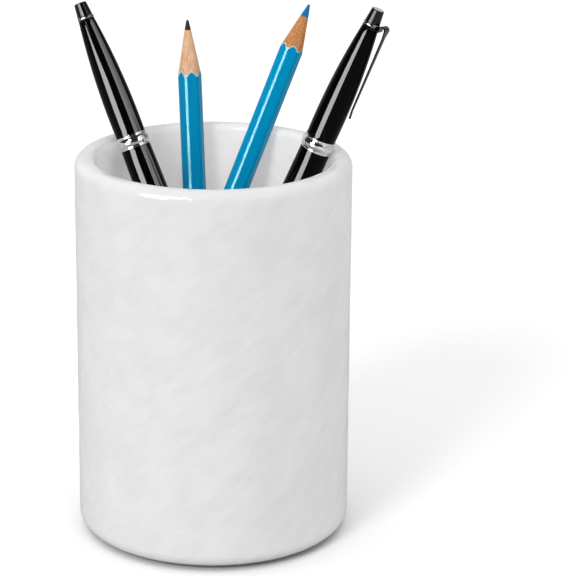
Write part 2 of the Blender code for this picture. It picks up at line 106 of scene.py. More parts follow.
# The pattern of the glaze, with the strokes' turn round the cup in radians for each metre of height
CLOUD_SIZE = 0.0130
CLOUD_SHARE = 0.6
STROKE_SIZE = 0.0048
STROKE_DRAW = 0.75
STROKE_CLIMB = 22.5
MARK_SIZE = 0.0019
MARK_DEPTH = 0.55
WORKED_SIZE = 0.0150
WORKED_FADE = (0.42, 0.62)
TONE_FADE = (0.32, 0.66)
SPECKLE_SIZE = 0.0006
SPECKLE_ROUGHNESS = 0.06
BARE_ROUGHNESS = 0.75
# The band low on the foot that is bare and rough, and painted near-black as shade
BARE_AND_SHADED_FOOT = (0.0003, 0.0010)
MOUTH_FADE = 0.0005

# The stage, with each panel's azimuth in degrees to the right of the camera
SOFTBOX = {"azimuth": -40.0, "distance": 0.33, "size": (0.20, 0.30), "height": 0.11}
EDGE_SOFTBOX = {"azimuth": -44.0, "distance": 0.33, "size": (0.155, 0.42), "height": 0.15}
WIDE_SOFTBOX = {"azimuth": -40.0, "distance": 0.33, "size": (0.30, 0.42), "height": 0.15}
FAR_SOFTBOX = {"azimuth": -49.0, "distance": 0.62, "size": (0.19, 0.40), "height": 0.41}
SIDE_PANEL = {"azimuth": 72.0, "distance": 0.75, "size": (1.0, 1.10), "height": 0.72}
SIDE_FADE = 0.8
MOUTH_PLACE = (-0.016, -0.020, 0.100)
MOUTH_TURN = (math.radians(84), 0.0, math.radians(-38))
MOUTH_SIZE = 0.030
AMBIENT_FROM = (-0.5, -0.6, 0.2)
FLOOR_SIZE = 12.0
FLOOR_LEVEL = -0.0001
SENSOR_WIDTH = 36.0

# The room that mirrors show: dark, with a white wall behind that dims to the right
ROOM_DARK = 0.03
ROOM_WALL = 0.62
ROOM_WALL_FALL = 0.32
ROOM_WALL_EDGE = (0.15, 0.75)


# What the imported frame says


def corners(node):
    """The places of a CAD node's corners, each once."""
    places = [vertex.co.copy() for vertex in frame["nodes"][node].data.vertices]
    return list({tuple(round(c, SAME_DIGITS) for c in place): place for place in places}.values())


class Shaft:
    """The frame of a turned piece or a tool: its foot, its Z up the middle and its X the way it faces."""

    def __init__(self, axis, tool, round_part, facing_part):
        self.axis = Vector(axis).normalized()
        self.tool = tool
        places = corners(tool + round_part)
        middle = sum(places, Vector()) / len(places)
        lowest = min(place.dot(self.axis) for place in places)
        self.foot = middle + self.axis * (lowest - middle.dot(self.axis))
        offsets = [self.offset(place)[0] for place in corners(tool + facing_part)]
        furthest = max(offsets, key=lambda offset: offset.length)
        enough = NEARLY_FURTHEST * furthest.length_squared
        side = sum((offset for offset in offsets if offset.dot(furthest) > enough), Vector()).normalized()
        turn = Matrix((side, self.axis.cross(side), self.axis)).transposed()
        self.matrix = Matrix.Translation(self.foot) @ turn.to_4x4()

    def offset(self, place):
        """How far a place lies out from the axis, as a vector, and its height up the axis."""
        away = place - self.foot
        height = away.dot(self.axis)
        return away - self.axis * height, height

    def rings(self, part):
        """The (radius, height) of each corner of a part about this axis."""
        measured = [self.offset(place) for place in corners(self.tool + part)]
        return [(out.length, height) for out, height in measured]

    def span(self, part):
        heights = [height for _, height in self.rings(part)]
        return min(heights), max(heights)

    def reach(self, part):
        return max(radius for radius, _ in self.rings(part))

    def bore(self, part):
        return min(radius for radius, _ in self.rings(part))

    def outside(self, part):
        """The top, the widest and the bottom point of a bulging part's outside."""
        rings = self.rings(part)
        low, high = self.span(part)
        top = max(radius for radius, height in rings if high - height < SAME_LEVEL)
        foot = max(radius for radius, height in rings if height - low < SAME_LEVEL)
        return (top, high), max(rings), (foot, low)


AXIS_OF = {joint["name"]: joint["axis"] for joint in frame["joints"]}
SHAFTS = {pen: Shaft(AXIS_OF[pen + "_lift"], pen + "_", "refill", "clip") for pen in PENS}
SHAFTS.update({pencil: Shaft(AXIS_OF[pencil + "_lift"], pencil + "_", "core", "lacquer")
               for pencil in PENCILS})
CUP = Shaft((0.0, 0.0, 1.0), "", "base_pad", "cup_body")
PEN = SHAFTS[PENS[0]]  # the pens are alike, so their pieces are modelled to the sizes of the first


# Sizes and colours that a user would change


def number(name, default, description, **kind):
    return bpy.props.FloatProperty(name=name, description=description, default=default, **kind)


def length(name, default, description):
    return number(name, default, description, min=0.0, precision=5, unit="LENGTH")


def share(name, default, description):
    return number(name, default, description, min=0.0, max=1.0, subtype="FACTOR")


def angle(name, default, description):
    return number(name, math.radians(default), description, subtype="ANGLE")


def level(name, default, description):
    return number(name, default, description, min=0.0)


def colour(name, default, description):
    return bpy.props.FloatVectorProperty(
        name=name, description=description, default=default, size=3, min=0.0, max=1.0, subtype="COLOR")


class CupSettings(bpy.types.PropertyGroup):
    """The glazed cup and its pad."""

    foot_round: length("Foot Round", 0.0040, "Radius of the rounding at the foot")
    floor_round: length("Floor Round", 0.0060, "Radius of the rounding where the inner wall meets the floor")
    rim_outer: length("Outer Rim Round", 0.0030, "Radius of the rim's outer edge")
    rim_inner: length("Inner Rim Round", 0.0021, "Radius of the rim's inner edge")
    waver: length("Wall Waver", 0.00022, "Depth of the unevenness of the hand-formed outer wall")
    waver_size: length("Waver Size", 0.0085, "Size of the dents in the outer wall")
    glaze: colour("Glaze", (0.79, 0.79, 0.795), "Colour of the glaze")
    glaze_thin: colour("Thin Glaze", (0.735, 0.735, 0.745), "Colour of the glaze where it lies thin")
    # A touch lighter and warmer than the outer glaze: painted light that lifts and warms the shaded inside
    # of the cup
    glaze_inside_lit: colour("Inside Glaze", (0.80, 0.795, 0.79), "Colour of the thicker glaze inside the cup")
    glaze_roughness: share("Glaze Roughness", 0.09, "Roughness of the glaze")
    # Near-black: the bare foot ring is painted shade that darkens the contact line under the cup
    biscuit_and_shade: colour("Biscuit", (0.05, 0.048, 0.045), "Colour of the bare ware under the foot")
    pad_round: length("Pad Round", 0.0004, "Radius of the pad's lower edge")
    pad: colour("Pad", (0.022, 0.022, 0.023), "Colour of the rubber pad")


class PenSettings(bpy.types.PropertyGroup):
    """The twist pens."""

    edge: length("Edge", 0.00008, "Radius of the small edges of barrels and trim")
    nose_mouth: length("Nose Mouth", 0.0012, "Radius of the nose cone at its mouth")
    nose_bulge: length("Nose Bulge", 0.00025, "How far the nose cone swells past a straight cone")
    nose_land: length("Nose Land", 0.0065, "Length of the narrow bore behind the mouth")
    lip: length("Band Lip", 0.00050, "Height of each lip of the centre band")
    groove: length("Band Groove", 0.00025, "Width and depth of the groove beside each lip")
    lip_inset: length("Lip Inset", 0.00030, "How far the lips stand back from the belt")
    clip_width: length("Clip Width", 0.0032, "Width of the clip's strip over its loop")
    clip_arm: length("Clip Arm", 0.0016, "Width of the clip's strip just under its loop")
    clip_end: length("Clip End", 0.0007, "Width of the clip's strip at its tip")
    clip_neck: length("Clip Neck", 0.0020, "Length of the straight, narrowing strip under its loop")
    clip_thickness: length("Clip Thickness", 0.0005, "Thickness of the clip's strip")
    clip_rise: length("Clip Rise", 0.0008, "Height of the middle of the clip's loop above its washer")
    clip_loop: length("Clip Loop", 0.00095, "Radius of the clip's loop")
    clip_tip: length("Clip Tip", 0.0025, "Length of the flared tip of the clip")
    clip_gap: length("Clip Gap", 0.0006, "Gap between the clip and the barrel before the tip")
    clip_flare: length("Clip Flare", 0.0003, "How far the clip's tip bends out")
    seam: length("Band Seam", 0.00003, "Gap between the centre band and the turning upper barrel")
    ring_crown: length("Ring Crown", 0.0002, "How far the finial's ring swells")
    finial_edge: length("Finial Edge", 0.0003, "Radius of the finial's top edge")
    lacquer: colour("Lacquer", (0.0016, 0.0016, 0.0018), "Colour of the barrels")
    chrome: colour("Chrome", (0.80, 0.81, 0.83), "Colour of the chrome trim")
    dark_chrome: colour("Dark Chrome", (0.035, 0.035, 0.038), "Colour of the finial")
    ring_chrome: colour("Ring Chrome", (0.28, 0.28, 0.29), "Colour of the ring under the finial")
    clip_chrome: colour("Clip Chrome", (0.03, 0.03, 0.032), "Colour of the clip")
    brass: colour("Brass", (0.72, 0.53, 0.22), "Colour of the twist mechanism")
    steel: colour("Steel", (0.55, 0.55, 0.56), "Colour of the refill")
    plastic: colour("Plastic", (0.75, 0.74, 0.70), "Colour of the refill's carrier")


class PencilSettings(bpy.types.PropertyGroup):
    """The hexagonal pencils."""

    edge: length("Edge", 0.00095, "Width of the flat that breaks each edge of the hexagon")
    edge_round: length("Edge Round", 0.00028, "Width of the rounding on both sides of that flat")
    coat: length("Coat", 0.00006, "Thickness of the lacquer with the pale coat under it")
    lacquer: colour("Lacquer", (0.0, 0.285, 0.55), "Colour of the lacquer")
    primer_colour: colour("Primer Colour", (0.56, 0.58, 0.53), "Colour of the coat under the lacquer")
    left_wood: colour("Left Wood", (0.94, 0.63, 0.41), "Light colour of the left pencil's wood")
    left_grain: colour("Left Grain", (0.66, 0.36, 0.20), "Grain colour of the left pencil's wood")
    right_wood: colour("Right Wood", (0.78, 0.35, 0.115), "Light colour of the right pencil's wood")
    right_grain: colour("Right Grain", (0.42, 0.155, 0.05), "Grain colour of the right pencil's wood")
    graphite: colour("Graphite", (0.030, 0.030, 0.032), "Colour of the graphite core")
    blue_core: colour("Blue Core", (0.004, 0.20, 0.46), "Colour of the blue core")


class StageSettings(bpy.types.PropertyGroup):
    """The camera, the floor and the lights."""

    lens: level("Lens", 163.7, "Focal length in millimetres on a 36 mm sensor")
    distance: length("Distance", 0.7665, "From the camera to the point on the cup's axis that it looks at")
    aim_height: length("Aim Height", 0.0730, "Height of that point")
    elevation: angle("Elevation", 18.39, "How far the camera looks down")
    aim_aside: angle("Aim Aside", 1.625, "How far the camera is turned to the right of the cup")
    ambient: level("Ambient", 0.85, "Light that reaches surfaces from all round")
    ambient_tilt: share("Ambient Tilt", 0.30, "How much more of it comes from the front, left and above")
    key: level("Key", 0.95, "Strength of the key light")
    key_azimuth: angle("Key Azimuth", -33.0, "Where the key light stands, to the right of the camera")
    key_elevation: angle("Key Elevation", 32.0, "How high the key light stands")
    key_spread: angle("Key Spread", 18.0, "How wide the key light looks from the cup")
    fill: level("Fill", 0.6, "Strength of the light that lifts the cup's far right edge")
    fill_azimuth: angle("Fill Azimuth", 110.0, "Where that light stands, to the right of the camera")
    fill_elevation: angle("Fill Elevation", 4.0, "How high that light stands")
    floor: level("Floor", 1.06, "Whiteness of the floor to the eye")
    bounce: share("Floor Bounce", 0.59, "Whiteness of the floor where it lights the object")
    softbox: level("Softbox", 85.0, "Brightness of the tall softbox that the barrels mirror")
    softbox_coat: level("Softbox on Coats", 105.0, "Brightness of the tall softbox that the pencils mirror")
    softbox_dark: level("Softbox on Dark Chrome", 9.0, "Brightness of the softbox that dark chrome mirrors")
    softbox_chrome: level("Softbox on Chrome", 2.2, "Brightness of the softbox that chrome mirrors")
    softbox_glaze: level("Softbox on Glaze", 14.0, "Brightness of the far softbox that the glaze mirrors")
    panel: level("Side Panel", 44.0, "Brightness of the side panel that the barrels mirror")
    panel_metal: level("Side Panel on Metal", 1.5, "Brightness of the side panel that the metal mirrors")
    mouth_fill: level("Mouth Fill", 4.2, "Brightness of the small lamp in the cup's mouth")


# Modelling with Blender's tools


def only(item):
    """Make one object the only one selected, and the active one."""
    bpy.ops.object.select_all(action="DESELECT")
    item.select_set(True)
    bpy.context.view_layer.objects.active = item


def start(name, add_primitive, **sizes):
    """Add a primitive under a piece's name, alone and in edit mode."""
    bpy.ops.object.select_all(action="DESELECT")
    add_primitive(enter_editmode=True, **sizes)
    bpy.ops.mesh.select_mode(type="VERT")
    item = bpy.context.active_object
    item.name = name
    item.data.name = name
    return item


def select_where(item, kind, test):
    """In edit mode, select only the faces or edges of a piece that pass a test."""
    bpy.ops.mesh.select_mode(type=kind)
    bpy.ops.mesh.select_all(action="DESELECT")
    shape = bmesh.from_edit_mesh(item.data)
    for part in shape.faces if kind == "FACE" else shape.edges:
        if test(part):
            part.select_set(True)
    bmesh.update_edit_mesh(item.data)


def leave_edit():
    """Merge doubled corners, turn the faces outwards and go back to object mode."""
    bpy.ops.mesh.select_all(action="SELECT")
    bpy.ops.mesh.remove_doubles(threshold=MERGE_DISTANCE)
    bpy.ops.mesh.normals_make_consistent(inside=False)
    bpy.ops.object.mode_set(mode="OBJECT")


def apply_modifier(item, kind, **settings):
    step = item.modifiers.new(kind.title(), kind)
    for name, value in settings.items():
        setattr(step, name, value)
    only(item)
    bpy.ops.object.modifier_apply(modifier=step.name)


def smooth(item):
    only(item)
    bpy.ops.object.shade_smooth_by_angle(angle=SMOOTH_ANGLE)


def smooth_flats(item):
    """Shade rounded edges smooth and keep the flats between them flat."""
    smooth(item)
    apply_modifier(item, "WEIGHTED_NORMAL", keep_sharp=True, weight=100)


def lathe(name, profile, sides=TOOL_SIDES):
    """Draw a (radius, height) profile by extruding a point and spin it about Z."""
    item = start(name, bpy.ops.mesh.primitive_plane_add)
    bpy.ops.mesh.merge(type="CENTER")
    bpy.ops.transform.translate(value=(profile[0][0], 0.0, profile[0][1]))
    for here, there in zip(profile, profile[1:]):
        step = (there[0] - here[0], 0.0, there[1] - here[1])
        bpy.ops.mesh.extrude_vertices_move(TRANSFORM_OT_translate={"value": step})
    bpy.ops.mesh.select_all(action="SELECT")
    bpy.ops.mesh.spin(steps=sides, angle=math.tau, center=(0.0, 0.0, 0.0), axis=(0.0, 0.0, 1.0))
    leave_edit()
    smooth(item)
    return item


def copy_of(item, name):
    only(item)
    bpy.ops.object.duplicate()
    made = bpy.context.active_object
    made.name = name
    made.data.name = name
    return made


def stand(item, matrix):
    """Move a piece to its place and leave that place in its mesh."""
    only(item)
    item.matrix_world = matrix
    bpy.ops.object.transform_apply(location=True, rotation=True, scale=True)


def cut(item, operation, other):
    """Cut a piece with another shape, or join them, and remove the other shape."""
    apply_modifier(item, "BOOLEAN", operation=operation, solver="EXACT", object=other)
    bpy.data.objects.remove(other)


def dress(item, node, *finishes):
    """Let a finished piece stand for a CAD node, on its body and in its material slot."""
    item.data.materials.clear()
    for finish in finishes:
        item.data.materials.append(finish)
    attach(item, frame["nodes"][node]["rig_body"])
    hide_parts(node)


def dress_each_pen(model, part, name, *finishes):
    """Stand a copy of a modelled piece on each pen, in the place of that pen's own part."""
    for pen in PENS:
        piece = copy_of(model, f"{pen}_{name}")
        stand(piece, SHAFTS[pen].matrix)
        dress(piece, f"{pen}_{part}", *finishes)
    bpy.data.objects.remove(model)


# Profiles


def arc(centre, radius, begin, end, steps=ARC_STEPS):
    """Points on an arc, with the angles in degrees from the outward direction."""
    points = []
    for step in range(steps + 1):
        turn = math.radians(begin + (end - begin) * step / steps)
        points.append((centre[0] + radius * math.cos(turn), centre[1] + radius * math.sin(turn)))
    return points


def swell(high, middle, low, steps=BULGE_STEPS):
    """Points down a smooth bulge through three (radius, height) points."""
    points = []
    for step in range(steps + 1):
        height = high[1] + (low[1] - high[1]) * step / steps
        radius = 0.0
        for this, one, two in ((high, middle, low), (middle, low, high), (low, high, middle)):
            part = (height - one[1]) * (height - two[1])
            radius += this[0] * part / ((this[1] - one[1]) * (this[1] - two[1]))
        points.append((radius, height))
    return points


def eased(points, edge):
    """A closed profile with each of its sharp corners rounded off."""
    made = []
    for index, point in enumerate(points):
        here = Vector(point)
        back = Vector(points[index - 1]) - here
        on = Vector(points[(index + 1) % len(points)]) - here
        bend = back.angle(on)
        size = min(edge / math.tan(bend / 2), back.length / 2, on.length / 2)
        if bend > STRAIGHT_ANGLE:
            made.append(point)
            continue
        one = here + back.normalized() * size
        two = here + on.normalized() * size
        for step in range(EDGE_STEPS + 1):
            part = step / EDGE_STEPS
            spot = one.lerp(here, part).lerp(here.lerp(two, part), part)
            made.append((spot.x, spot.y))
    return made + made[:1]


# Shader nodes


class Socket:
    """A node's output, so that sums on it are written as sums."""

    def __init__(self, shader, socket):
        self.shader = shader
        self.socket = socket

    def other(self, name):
        """Another output of the same node."""
        return Socket(self.shader, self.socket.node.outputs[name])

    def __add__(self, other):
        return self.shader.maths("ADD", self, other)

    def __radd__(self, other):
        return self.shader.maths("ADD", other, self)

    def __sub__(self, other):
        return self.shader.maths("SUBTRACT", self, other)

    def __rsub__(self, other):
        return self.shader.maths("SUBTRACT", other, self)

    def __mul__(self, other):
        return self.shader.maths("MULTIPLY", self, other)

    def __rmul__(self, other):
        return self.shader.maths("MULTIPLY", other, self)


class Shader:
    """The nodes of one material or world."""

    def __init__(self, owner):
        owner.use_nodes = True
        self.nodes = owner.node_tree.nodes
        self.links = owner.node_tree.links
        self.nodes.clear()

    def node(self, kind, settings, values, output=0):
        """Add a node: its settings first, then the values or links of its sockets."""
        made = self.nodes.new(kind)
        for name, value in settings.items():
            setattr(made, name, value)
        for name, value in values.items():
            if isinstance(value, Socket):
                self.links.new(value.socket, made.inputs[name])
            else:
                made.inputs[name].default_value = value
        return Socket(self, made.outputs[output]) if made.outputs else made

    def maths(self, operation, one, two):
        return self.node("ShaderNodeMath", {"operation": operation}, {0: one, 1: two})

    def fade(self, value, low, high):
        """0 where the value is at low or under, 1 at high or over, and smooth between."""
        return self.node("ShaderNodeMapRange", {"interpolation_type": "SMOOTHSTEP"},
                         {"Value": value, "From Min": low, "From Max": high})

    def mix(self, factor, one, two):
        """A colour between two colours."""
        return self.node("ShaderNodeMix", {"data_type": "RGBA"}, {0: factor, 6: one, 7: two}, 2)

    def place(self, shaft=None, stretch=(1.0, 1.0, 1.0)):
        """Object coordinates, or a shaft's own coordinates, stretched for a drawn-out pattern."""
        where = self.node("ShaderNodeTexCoord", {}, {}, "Object")
        if shaft:
            where = self.node("ShaderNodeMapping", {"vector_type": "TEXTURE"}, {
                "Vector": where, "Location": shaft.foot, "Rotation": shaft.matrix.to_euler()})
        return self.stretch(where, stretch)

    def stretch(self, where, by):
        return self.node("ShaderNodeMapping", {}, {"Vector": where, "Scale": by})

    def axes(self, where):
        """The X, Y and Z of a place or a direction."""
        across = self.node("ShaderNodeSeparateXYZ", {}, {"Vector": where}, "X")
        return across, across.other("Y"), across.other("Z")

    def noise(self, where, size, detail=2.0, roughness=0.5):
        """Soft noise with spots of about a given size."""
        return self.node("ShaderNodeTexNoise", {}, {
            "Vector": where, "Scale": 1.0 / size, "Detail": detail, "Roughness": roughness})

    def bump(self, height, depth, strength=1.0):
        return self.node("ShaderNodeBump", {}, {"Height": height, "Distance": depth, "Strength": strength})

    def surface(self, **values):
        """A Principled surface, with its sockets' names written with underscores."""
        named = {name.replace("_", " "): value for name, value in values.items()}
        shader = self.node("ShaderNodeBsdfPrincipled", {}, named)
        self.node("ShaderNodeOutputMaterial", {}, {"Surface": shader})


def new_finish(name):
    material = bpy.data.materials.new(name)
    return material, Shader(material)


def full(shade, part=1.0):
    """A colour with its alpha, or a darker or lighter one."""
    return (*(part * c for c in shade), 1.0)


# Finishes


def inner_radius():
    """The radius of the cup's inner wall."""
    half_way = CUP.span("cup_body")[1] / 2
    return min(radius for radius, height in CUP.rings("cup_body") if height > half_way)


def white_glaze(cup):
    """Glaze over a hand-formed wall: soft clouds, climbing strokes and fine marks, with painted light inside
    the mouth and a bare foot ring painted near-black as shade.
    """
    material, shader = new_finish("white_glaze")
    where = shader.place()
    across, deep, height = shader.axes(where)
    climbing = shader.node("ShaderNodeVectorRotate", {"rotation_type": "Z_AXIS"},
                           {"Vector": where, "Angle": height * -STROKE_CLIMB})
    clouds = shader.noise(where, CLOUD_SIZE)
    strokes = shader.noise(shader.stretch(climbing, (1.0, 1.0, STROKE_DRAW)), STROKE_SIZE)
    marks = shader.noise(where, MARK_SIZE, detail=1.0)
    worked = shader.fade(shader.noise(where, WORKED_SIZE, detail=1.0), *WORKED_FADE)
    tone = shader.fade(clouds * CLOUD_SHARE + strokes * (1.0 - CLOUD_SHARE), *TONE_FADE)
    speckle = shader.noise(where, SPECKLE_SIZE, detail=1.0)
    foot = CUP.span("cup_body")[0]
    # the lowest of the foot is bare and rough, and painted near-black as shade under the cup's edge
    glazed = shader.fade(height, foot + BARE_AND_SHADED_FOOT[0], foot + BARE_AND_SHADED_FOOT[1])
    mouth = inner_radius() + cup.rim_inner / 2
    inside = 1.0 - shader.fade(shader.maths("SQRT", across * across + deep * deep, 0.0),
                               mouth - MOUTH_FADE, mouth + MOUTH_FADE)
    ware = shader.mix(tone, full(cup.glaze_thin), full(cup.glaze))
    # inside the mouth one lighter, warmer glaze colour is painted light that lifts the shade there
    ware = shader.mix(inside, ware, full(cup.glaze_inside_lit))
    roughness = BARE_ROUGHNESS - glazed * (BARE_ROUGHNESS - cup.glaze_roughness)
    shader.surface(
        Base_Color=shader.mix(glazed, full(cup.biscuit_and_shade), ware),
        Roughness=roughness + speckle * SPECKLE_ROUGHNESS,
        IOR=1.5,
        Normal=shader.bump(strokes + marks * worked * MARK_DEPTH, depth=0.0005, strength=0.40))
    return material


def grained(name, low, high, size, roughness, rougher, depth, strength, detail=2.0, shaft=None,
            stretch=(1.0, 1.0, 1.0), **constants):
    """A finish whose colour, roughness and surface all follow one grain."""
    material, shader = new_finish(name)
    grain = shader.noise(shader.place(shaft, stretch), size, detail)
    shader.surface(
        Base_Color=shader.mix(grain, low, high),
        Roughness=roughness + grain * rougher,
        Normal=shader.bump(grain, depth, strength),
        **constants)
    return material


def black_lacquer(pens):
    """Deep black lacquer with the faintest waver and a few handling marks."""
    material, shader = new_finish("barrel_lacquer")
    waver = shader.noise(shader.place(), size=0.0035, detail=1.0)
    marks = shader.fade(shader.noise(shader.place(), size=0.0016, detail=4.0), low=0.58, high=0.75)
    shader.surface(
        Base_Color=shader.mix(marks, full(pens.lacquer), full(pens.lacquer, 1.6)),
        Roughness=0.025 + marks * 0.03,
        IOR=1.15,
        Normal=shader.bump(waver, depth=0.00001, strength=0.25))
    return material


def polished_metal(name, shade, roughness, size=0.0012):
    """Polished metal with fine hazing and rubbing marks."""
    material, shader = new_finish(name)
    haze = shader.noise(shader.place(), size, detail=4.0, roughness=0.6)
    rubbed = shader.fade(haze, low=0.45, high=0.72)
    shader.surface(
        Base_Color=shader.mix(rubbed, full(shade), full(shade, 0.88)),
        Metallic=1.0,
        Roughness=roughness + rubbed * 0.06,
        Normal=shader.bump(haze, depth=0.00002, strength=0.2))
    return material


def blue_lacquer(name, pencils, shaft):
    """Glossy lacquer, drawn on along the pencil, so its faint flow runs lengthwise."""
    return grained(
        name, full(pencils.lacquer, 0.90), full(pencils.lacquer), size=0.0011, shaft=shaft,
        stretch=(1.0, 1.0, 0.08), roughness=0.12, rougher=0.02, depth=0.000002, strength=0.03,
        IOR=1.16, Specular_Tint=(0.55, 1.0, 0.92, 1.0))


def drawn_core(name, shade, roughness, gloss):
    """A pencil's core, scraped by the sharpener."""
    return grained(
        name, full(shade, 0.7), full(shade), size=0.0004, detail=3.0, stretch=(1.0, 1.0, 0.4),
        roughness=roughness, rougher=0.15, depth=0.00004, strength=0.5, IOR=gloss)


def pale_primer(pencils):
    """The coat that shows as a thin line where the sharpener cut the lacquer."""
    material, shader = new_finish("pale_primer")
    grain = shader.noise(shader.place(), size=0.0003)
    shader.surface(
        Base_Color=shader.mix(grain, full(pencils.primer_colour, 0.85), full(pencils.primer_colour)),
        Roughness=0.8)
    return material


def cedar(name, shaft, wood, grain, speckle):
    """Sharpened cedar: streaks along the pencil, specks, short pores and the planing of the blade."""
    material, shader = new_finish(name)
    streaks = shader.noise(shader.place(shaft, (1.0, 1.0, 0.05)), size=0.0006, detail=3.0, roughness=0.6)
    specks = shader.noise(shader.place(shaft, (1.0, 1.0, 0.6)), size=0.00028)
    pores = shader.noise(shader.place(shaft, (1.0, 1.0, 0.2)), size=0.00022, detail=1.0)
    pores = shader.fade(pores, low=0.60, high=0.72)
    shaved = shader.noise(shader.place(shaft, (0.15, 0.15, 1.0)), size=0.0007)
    tone = shader.fade(streaks * (1.0 - speckle) + specks * speckle, low=0.32, high=0.68)
    lightness = 0.55 * tone + 0.45 - 0.25 * pores
    shader.surface(
        Base_Color=shader.mix(lightness, full(grain), shader.mix(tone, full(grain), full(wood))),
        Roughness=0.6 + 0.2 * pores,
        IOR=1.35,
        Normal=shader.bump(streaks * 0.6 + shaved * 0.4, depth=0.00008, strength=0.5))
    return material


# Operators


class PENCUP_OT_cup(bpy.types.Operator):
    """Turn the cup, give its outside the waver of a hand-formed wall, and glaze it"""

    bl_idname = "pencup.cup"
    bl_label = "Glazed Cup"

    def execute(self, context):
        sizes = context.scene.glazed_cup
        rings = CUP.rings("cup_body")
        lowest, top = CUP.span("cup_body")
        outer = CUP.reach("cup_body")
        inner = inner_radius()
        level_floor = inner - sizes.floor_round + SAME_LEVEL
        floor = max(height for radius, height in rings if radius < level_floor)
        rim = sizes.rim_outer
        lip = sizes.rim_inner
        rim_low = top - rim
        foot_high = lowest + sizes.foot_round
        recess = CUP.reach("base_pad") + REST_GAP
        recess_top = CUP.span("base_pad")[1] + PRESS_GAP

        profile = [(0.0, floor)]
        profile += arc((inner - sizes.floor_round, floor + sizes.floor_round), sizes.floor_round, -90, 0)
        profile += arc((inner + lip, top - lip), lip, 180, 90)
        profile += arc((outer - rim, rim_low), rim, 90, 0)
        drop = rim_low - foot_high
        profile += [(outer, rim_low - drop * step / WALL_RINGS) for step in range(1, WALL_RINGS)]
        profile += arc((outer - sizes.foot_round, foot_high), sizes.foot_round, 0, -90)
        profile += [(recess, lowest), (recess, recess_top), (0.0, recess_top)]
        cup = lathe("glazed_cup", profile, CUP_SIDES)

        wall = cup.vertex_groups.new(name="outer wall")
        for vertex in cup.data.vertices:
            if vertex.co.xy.length > outer - rim / 2 and foot_high < vertex.co.z < rim_low:
                from_edge = min(vertex.co.z - foot_high, rim_low - vertex.co.z)
                wall.add([vertex.index], min(1.0, from_edge / sizes.waver_size), "REPLACE")
        dents = bpy.data.textures.new("hand-formed dents", "CLOUDS")
        dents.noise_scale = sizes.waver_size
        dents.noise_depth = 1
        apply_modifier(cup, "DISPLACE", texture=dents, texture_coords="LOCAL", vertex_group=wall.name,
                       strength=sizes.waver, mid_level=0.5)
        smooth(cup)
        dress(cup, "cup_body", white_glaze(sizes))
        return {"FINISHED"}


class PENCUP_OT_pad(bpy.types.Operator):
    """Turn the rubber pad that the cup stands on"""

    bl_idname = "pencup.pad"
    bl_label = "Rubber Pad"

    def execute(self, context):
        sizes = context.scene.glazed_cup
        low, high = CUP.span("base_pad")
        radius = CUP.reach("base_pad")
        edge = sizes.pad_round
        profile = [(0.0, high)]
        profile += arc((radius - edge, high - edge), edge, 90, 0, EDGE_STEPS)
        profile += arc((radius - edge, low + edge), edge, 0, -90, EDGE_STEPS)
        profile += [(0.0, low)]
        pad = lathe("rubber_pad", profile, CUP_SIDES)
        dress(pad, "base_pad", grained(
            "pad_rubber", full(sizes.pad), full(sizes.pad, 2.0), size=0.0004, detail=3.0,
            roughness=0.7, rougher=0.3, depth=0.0001, strength=0.6))
        return {"FINISHED"}


class PENCUP_OT_barrels(bpy.types.Operator):
    """Turn the lower and upper barrels of the pens and lacquer them"""

    bl_idname = "pencup.barrels"
    bl_label = "Pen Barrels"

    def execute(self, context):
        sizes = context.scene.twist_pens
        finish = black_lacquer(sizes)

        bore = PEN.bore("lower_barrel")
        high, belly, low = PEN.outside("lower_barrel")
        profile = swell(high, belly, low) + [(bore, low[1]), (bore, high[1])]
        lower = lathe("lower_barrel", eased(profile, sizes.edge))
        dress_each_pen(lower, "lower_barrel", "lacquered_lower", finish)

        stud = PEN.bore("upper_barrel")
        bore = PEN.reach("twist_cam") + PRESS_GAP
        seat = PEN.span("twist_cam")[1] + PRESS_GAP
        high, belly, low = PEN.outside("upper_barrel")
        profile = swell(high, belly, low)
        profile += [(bore, low[1]), (bore, seat), (stud, seat), (stud, high[1])]
        upper = lathe("upper_barrel", eased(profile, sizes.edge))
        dress_each_pen(upper, "upper_barrel", "lacquered_upper", finish)
        return {"FINISHED"}


